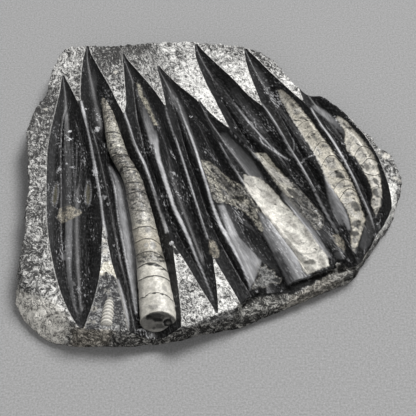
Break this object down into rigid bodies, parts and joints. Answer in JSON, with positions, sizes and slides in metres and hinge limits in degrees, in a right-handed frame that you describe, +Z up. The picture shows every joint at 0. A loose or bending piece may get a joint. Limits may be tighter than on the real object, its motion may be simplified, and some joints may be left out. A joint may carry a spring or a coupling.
{
  "type": "orthoceras fossil plate",
  "caption": "Slab of dark limestone with a flat underside, ground and polished in lens-shaped scoops around the straight chambered shells in it and left rough between them.",
  "frame": {"origin": "middle of the plate's bounding box, on the underside that it rests on", "axes": "+Z up through the plate's thickness; +X along its longest side, to the right when the ledge and the largest shell's open end face the viewer; -Y towards that broken front edge"},
  "size_m": [0.276, 0.2552, 0.0251],
  "materials": {
    "polished_limestone": "satin"
  },
  "bodies": {
    "root": {"plate": "polished_limestone"}
  },
  "joints": []
}
